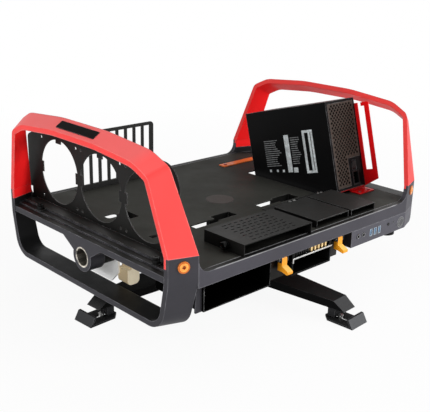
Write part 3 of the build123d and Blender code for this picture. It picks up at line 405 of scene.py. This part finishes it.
# Knurled grips on the thumb screws and on the cover's knob
grip = {
    "teeth": 22,
    "toothPoints": 4,       # half of them on the tooth, half in the groove
    "toothDepth": 0.0004,
    "screwRadius": 0.0054,
    "screwHeight": 0.0105,
    "knobRadius": 0.0064,
    "knobHeight": 0.0085,
    "knobSeat": 0.0075,     # from the knob's outer end
    "footLip": 0.0006,
    "footShare": 0.8,       # shares are of the radius
    "topLip": 0.0008,
    "topShare": 0.82,
    "dish": 0.0008,
    "dishShares": (0.6, 0.52),
    # Painted shade in its small hollows; its lightened edges kept near-black
    "look": dict(finishes["black_plastic"], colour=(0.001, 0.001, 0.001), rough=0.16, specular=0.1, bump=0.02,
                 shadeReach=0.004, edge=0.0002, edgeColour=(0.004, 0.004, 0.004)),
}


def knurledGrip(name, base, axis, radius, height):
    side = Vector((0, 1, 0))    # no grip's axis points this way
    other = axis.cross(side)
    deep, foot, lip = grip["toothDepth"], grip["footLip"], grip["topLip"]
    dishRim, dishFloor = grip["dishShares"]
    profile = [(0, radius * grip["footShare"], False), (foot, radius - deep, False), (foot * 2, radius, True),
               (height - lip * 2, radius, True), (height - lip, radius - deep, False),
               (height, radius * grip["topShare"], False), (height, radius * dishRim, False),
               (height - grip["dish"], radius * dishFloor, False)]
    points = grip["toothPoints"]
    count = grip["teeth"] * points
    hoops = []
    for rise, wide, toothed in profile:
        hoop = []
        for n in range(count):
            turn = 2 * math.pi * n / count
            inGroove = toothed and n % points >= points / 2
            ray = side * math.cos(turn) + other * math.sin(turn)
            hoop.append(base + axis * rise + ray * (wide - deep if inGroove else wide))
        hoops.append(hoop)
    bm = bmesh.new()
    skinHoops(bm, hoops)
    seat(pieceOf(name, bm), "gripGloss")


def makeGrips():
    up = Vector((0, 0, 1))
    for number, (low, high) in enumerate(boxesOf("fan_bracket_screws")):
        spot = Vector(((low.x + high.x) / 2, (low.y + high.y) / 2, low.z))
        knurledGrip(f"thumbGrip{number + 1}", spot, up, grip["screwRadius"], grip["screwHeight"])
    low, high = boxesOf("cover_knob")[0]
    spot = Vector((low.x + grip["knobSeat"], (low.y + high.y) / 2, (low.z + high.z) / 2))
    knurledGrip("coverGrip", spot, Vector((-1, 0, 0)), grip["knobRadius"], grip["knobHeight"])


paint["gripGloss"] = coated("gripGloss", grip["look"])
makeGrips()
print("cut the grips")


# Rings round the front panel's jacks and power button, and on the handles' bolts
panelRings = {
    "proud": 0.0006,
    "root": 0.0004,         # sunk into what carries it
    "round": 0.0002,
    "shoulder": 0.6,        # share of the height where the rounding starts
    "jack": (0.0031, 0.0039),
    "button": (0.0097, 0.0107),
    "bolt": (0.0030, 0.0066),
    "boltHead": 0.0035,
    "boltLean": 19.4,       # the posts' faces turn outwards by this much
    "segments": 40,
    "look": dict(finishes["button_grey"], colour=(0.26, 0.26, 0.27), edge=0.0003),
    "boltLook": dict(finishes["bolt_orange"], colour=(1.0, 0.36, 0.06), rough=0.26, drift=0.2,
                     driftScale=160),
}


def flatRing(name, place, axis, radii, finish):
    inner, outer = radii
    rise, root, rounding = panelRings["proud"], panelRings["root"], panelRings["round"]
    shoulder = rise * panelRings["shoulder"]
    profile = [(inner, -root), (inner, shoulder), (inner + rounding, rise), (outer - rounding, rise),
               (outer, shoulder), (outer, -root)]
    up = Vector((0, 0, 1))
    across = up.cross(axis)
    hoops = []
    for n in range(panelRings["segments"]):
        turn = 2 * math.pi * n / panelRings["segments"]
        ray = across * math.cos(turn) + up * math.sin(turn)
        hoops.append([place + ray * r + axis * d for r, d in profile])
    bm = bmesh.new()
    skinHoops(bm, hoops, True)
    seat(pieceOf(name, bm), finish)


def makeRings():
    toFront = Vector((0, -1, 0))
    for number, (low, high) in enumerate(boxesOf("audio_jacks")):
        middle = (low + high) / 2
        place = Vector((middle.x, low.y, middle.z))
        flatRing(f"jackRing{number + 1}", place, toFront, panelRings["jack"], "ringPale")
    low, high = boxesOf("power_button")[0]
    middle = (low + high) / 2
    place = Vector((middle.x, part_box("io_panel")[0][1], middle.z))
    flatRing("buttonRing", place, toFront, panelRings["button"], "ringPale")
    lean = math.radians(panelRings["boltLean"])
    for number, (low, high) in enumerate(boxesOf("handle_bolts")):
        middle = (low + high) / 2
        axis = Vector((math.copysign(math.sin(lean), middle.x), math.copysign(math.cos(lean), middle.y), 0))
        place = middle + axis * panelRings["boltHead"] / 2
        flatRing(f"boltRing{number + 1}", place, axis, panelRings["bolt"], "boltBright")


paint["ringPale"] = coated("ringPale", panelRings["look"])
paint["boltBright"] = coated("boltBright", panelRings["boltLook"])
makeRings()
print("ringed the panel and the bolts")


# Painted highlight: thin light-grey beads along the beams' top edges and the deck's seams, standing in for
# the light that the rounded edges catch
highlightBeads = {
    "reach": 0.234,
    "taper": 0.012,
    "tipShare": 0.3,        # radius at the ends, as a share
    "edgeRadius": 0.0009,
    "seamRadius": 0.0006,
    "sunk": 0.5,            # share of the radius that lies under the surface
    "sides": 8,
    "look": dict(colour=(0.20, 0.20, 0.205), rough=0.4, speckle=0.3, bump=0.05, drift=0.35, driftScale=30,
                 wearAndHighlight=0.6, edge=0.0003, specular=0.2),
}


def makeHighlightBeads():
    beamFace = -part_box("base_frame")[0][1]
    deckLow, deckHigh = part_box("deck_plate")
    reach, taper, tip = highlightBeads["reach"], highlightBeads["taper"], highlightBeads["tipShare"]
    turns = [2 * math.pi * n / highlightBeads["sides"] for n in range(highlightBeads["sides"])]
    lines = ((beamFace, highlightBeads["edgeRadius"], 1), (-deckLow[1], highlightBeads["seamRadius"], 0))
    bm = bmesh.new()
    for row in (1, -1):
        for y, radius, inset in lines:
            sunk = radius * highlightBeads["sunk"]
            hoops = []
            for x, share in ((-reach, tip), (taper - reach, 1), (reach - taper, 1), (reach, tip)):
                wide = radius * share
                hoops.append([Vector((x, row * (y - sunk * inset + wide * math.cos(turn)),
                                      deckHigh[2] - sunk + wide * math.sin(turn))) for turn in turns])
            skinHoops(bm, hoops)
    seat(pieceOf("highlightBeads", bm), "beadGrey")


paint["beadGrey"] = coated("beadGrey", highlightBeads["look"])
makeHighlightBeads()
print("ran the beads")


# Dark moulded teeth beside the dock's gold contacts
dockTeeth = {
    "count": 7,
    "first": -0.0445,
    "pitch": 0.0056,
    "width": 0.0028,
    "height": 0.0085,
    "setBack": 0.0015,
    "length": 0.008,
    "round": 0.0005,
    "roundSteps": 2,
}


def makeDockTeeth():
    low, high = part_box("dock_pins")
    sizes = (dockTeeth["width"], dockTeeth["height"], dockTeeth["length"])
    bm = bmesh.new()
    for n in range(dockTeeth["count"]):
        corner = Vector((dockTeeth["first"] + n * dockTeeth["pitch"], low[1] + dockTeeth["setBack"], low[2]))
        slab(bm, corner, Vector((1, 0, 0)), Vector((0, 0, 1)), Vector((0, 1, 0)), sizes)
    bmesh.ops.recalc_face_normals(bm, faces=bm.faces)
    bmesh.ops.bevel(bm, geom=bm.edges[:], offset=dockTeeth["round"], segments=dockTeeth["roundSteps"],
                    affect="EDGES")
    seat(pieceOf("dockTeeth", bm), "black_plastic")


makeDockTeeth()
print("set the dock's teeth")


# Plain label on the supply's left face: pale fields, a band, a line and rows of short bars
supplyLabel = {
    "lean": 15.4,
    "caseLength": 0.209,
    "thick": 0.00025,
    # millimetres from the case's lower front corner: near, far, bottom, top
    "paleFields": [(41, 67, 40, 123), (103, 115, 44, 118), (89, 100, 43, 53), (125, 130, 45, 50),
                   (141, 146, 46, 51), (160, 165, 47, 52)],
    "darkFields": [(52, 61, 45, 118), (45.5, 47, 45, 118)],
    "rows": [(119, 170, 58, 116), (71, 99, 60, 117)],
    "rowPitch": 4.2,
    "rowHeight": 1.7,
    "ragged": (0.12, 0.3),      # least and added share of a row that stays empty
    "raggedStep": 2.7,
    "breakAt": (0.35, 0.2),     # middle and swing of the gap in each row
    "breakStep": 1.9,
    "breakGap": 1.2,
    "paleLook": dict(colour=(0.52, 0.56, 0.57), rough=0.5, grainScale=420, speckle=0.5, bump=0.04, drift=0.25,
                     driftScale=120, wearAndHighlight=0.1, specular=0.1),
    "faintLook": dict(colour=(0.19, 0.197, 0.20), rough=0.5, grainScale=420, speckle=0.5, bump=0.04,
                      drift=0.3, driftScale=120, wearAndHighlight=0.1, specular=0.05),
}


def makeSupplyLabel():
    low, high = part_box("psu_case")
    tilt = math.radians(supplyLabel["lean"])
    up = Vector((0, math.sin(tilt), math.cos(tilt)))
    back = Vector((0, math.cos(tilt), -math.sin(tilt)))
    corner = Vector((low[0], low[1], low[2] + supplyLabel["caseLength"] * math.sin(tilt)))
    out = Vector((-1, 0, 0))
    thick = supplyLabel["thick"]
    pale, faint, dark = bmesh.new(), bmesh.new(), bmesh.new()

    def field(bm, near, far, bottom, top, rise=0):
        place = corner + (back * near + up * bottom) * mm + out * rise
        slab(bm, place, back, up, out, ((far - near) * mm, (top - bottom) * mm, thick))

    for box in supplyLabel["paleFields"]:
        field(pale, *box)
    for box in supplyLabel["darkFields"]:
        field(dark, *box, thick / 2)
    spareLeast, spareMore = supplyLabel["ragged"]
    breakMiddle, breakSwing = supplyLabel["breakAt"]
    for near, far, bottom, top in supplyLabel["rows"]:
        for n in range(int((top - bottom) / supplyLabel["rowPitch"])):
            place = bottom + n * supplyLabel["rowPitch"]
            wave = abs(math.sin(supplyLabel["raggedStep"] * n + near))
            start = near + (far - near) * (spareLeast + spareMore * wave)
            cut = start + (far - start) * (breakMiddle + breakSwing * math.sin(supplyLabel["breakStep"] * n))
            field(faint, start, cut - supplyLabel["breakGap"], place, place + supplyLabel["rowHeight"])
            field(faint, cut, far, place, place + supplyLabel["rowHeight"])
    seat(pieceOf("labelBars", dark), "psu_black")
    seat(pieceOf("labelFields", pale), "labelPale")
    seat(pieceOf("labelRows", faint), "labelFaint")


paint["labelPale"] = coated("labelPale", supplyLabel["paleLook"])
paint["labelFaint"] = coated("labelFaint", supplyLabel["faintLook"])
makeSupplyLabel()
print("stuck the label on")


# Floor, backdrop and light

studio = {
    "floorSize": 40.0,
    "floorTone": (0.93, 0.93, 0.93),
    "floorRough": 0.9,
    "floorShine": 0.1,
    "floorGlow": 0.92,          # white showing under the object, where the shadow lies
    "shadowReach": (0.5, 1.6),  # from the middle; beyond it the floor is plain white
    "worldTone": (1.0, 1.0, 1.0),
    "worldLevel": 0.30,
    # name, place, what it points at, width and watts
    "lamps": [
        ("lampLeft", (-2.4, -0.8, 1.15), (-0.1, 0, 0.2), 1.5, 27),
        ("lampFront", (1.1, -1.9, 0.95), (0, 0, 0.15), 1.4, 33),
        ("lampTop", (0.2, 0.4, 2.5), (0, 0, 0.1), 2.2, 6),
        ("lampRight", (2.2, 0.6, 1.4), (0.1, 0, 0.2), 1.4, 4),
        ("lampLow", (-1.3, -1.6, 0.35), (-0.1, 0, 0.1), 0.9, 7),
    ],
}


# Rays that should see the plain backdrop: the camera's, and those off metal or through glass
def plainRays(tree):
    seen = addNode(tree, "ShaderNodeLightPath")
    shiny = addNode(tree, "ShaderNodeMath", operation="MAXIMUM")
    wire(tree, seen, shiny, "Is Glossy Ray", 0)
    wire(tree, seen, shiny, "Is Transmission Ray", 1)
    either = addNode(tree, "ShaderNodeMath", operation="MAXIMUM")
    wire(tree, seen, either, "Is Camera Ray", 0)
    return wire(tree, shiny, either, 0, 1)


def makeFloor():
    half = studio["floorSize"] / 2
    bm = bmesh.new()
    bm.faces.new([bm.verts.new((x * half, y * half, 0)) for x, y in ((-1, -1), (1, -1), (1, 1), (-1, 1))])
    floor = pieceOf("studioFloor", bm)
    mat, tree, skin = freshMaterial("floorPaper")
    skin.inputs["Base Color"].default_value = (*studio["floorTone"], 1)
    skin.inputs["Roughness"].default_value = studio["floorRough"]
    skin.inputs["Specular IOR Level"].default_value = studio["floorShine"]
    glow = addNode(tree, "ShaderNodeEmission", {"Color": (1, 1, 1, 1), "Strength": 1.0})
    coords = addNode(tree, "ShaderNodeTexCoord")
    far = addNode(tree, "ShaderNodeVectorMath", operation="LENGTH")
    wire(tree, coords, far, "Object", 0)
    share = addNode(tree, "ShaderNodeMath", operation="MULTIPLY")
    wire(tree, plainRays(tree), share, 0, 0)
    wire(tree, rangeOf(tree, far, studio["floorGlow"], 1, studio["shadowReach"], "Value"), share, 0, 1)
    mixed = addNode(tree, "ShaderNodeMixShader")
    wire(tree, share, mixed, 0, 0)
    wire(tree, skin, mixed, 0, 1)
    wire(tree, glow, mixed, 0, 2)
    out = next(node for node in tree.nodes if node.type == "OUTPUT_MATERIAL")
    wire(tree, mixed, out, 0, 0)
    floor.data.materials.append(mat)


def makeWorld():
    world = bpy.data.worlds.new("studioWorld")
    bpy.context.scene.world = world
    world.use_nodes = True
    tree = world.node_tree
    tree.nodes.clear()
    out = tree.nodes.new("ShaderNodeOutputWorld")
    softLight = {"Color": (*studio["worldTone"], 1), "Strength": studio["worldLevel"]}
    soft = addNode(tree, "ShaderNodeBackground", softLight)
    white = addNode(tree, "ShaderNodeBackground", {"Color": (1, 1, 1, 1), "Strength": 1.0})
    mixed = addNode(tree, "ShaderNodeMixShader")
    wire(tree, plainRays(tree), mixed, 0, 0)
    wire(tree, soft, mixed, 0, 1)
    wire(tree, white, mixed, 0, 2)
    wire(tree, mixed, out)


def makeLamps():
    for name, place, target, size, watts in studio["lamps"]:
        lamp = bpy.data.lights.new(name, "AREA")
        lamp.shape = "DISK"
        lamp.size = size
        lamp.energy = watts
        holder = bpy.data.objects.new(name, lamp)
        holder.location = place
        aim = Vector(target) - Vector(place)
        holder.rotation_euler = aim.to_track_quat("-Z", "Y").to_euler()
        bpy.context.scene.collection.objects.link(holder)


# Camera at the photograph's viewing angle, solved from its straight edges
eye = {
    "place": (-0.9356, -0.9653, 0.5807),
    "right": (0.727337, -0.685947, 0.021404),
    "ahead": (0.655109, 0.684669, -0.319469),
    "lens": 64.47,
    "sensor": 36,
    "nearest": 0.05,
}


def makeCamera():
    lens = bpy.data.cameras.new("photoEye")
    lens.sensor_width = eye["sensor"]
    lens.lens = eye["lens"]
    lens.clip_start = eye["nearest"]
    holder = bpy.data.objects.new("photoEye", lens)
    right = Vector(eye["right"])
    ahead = Vector(eye["ahead"])
    up = right.cross(ahead)
    turn = Matrix((right, up, -ahead)).transposed()
    holder.matrix_world = Matrix.Translation(eye["place"]) @ turn.to_4x4()
    bpy.context.scene.collection.objects.link(holder)
    bpy.context.scene.camera = holder


makeFloor()
makeWorld()
makeLamps()
makeCamera()
bpy.context.scene.view_settings.view_transform = "Standard"
print("lit the studio")
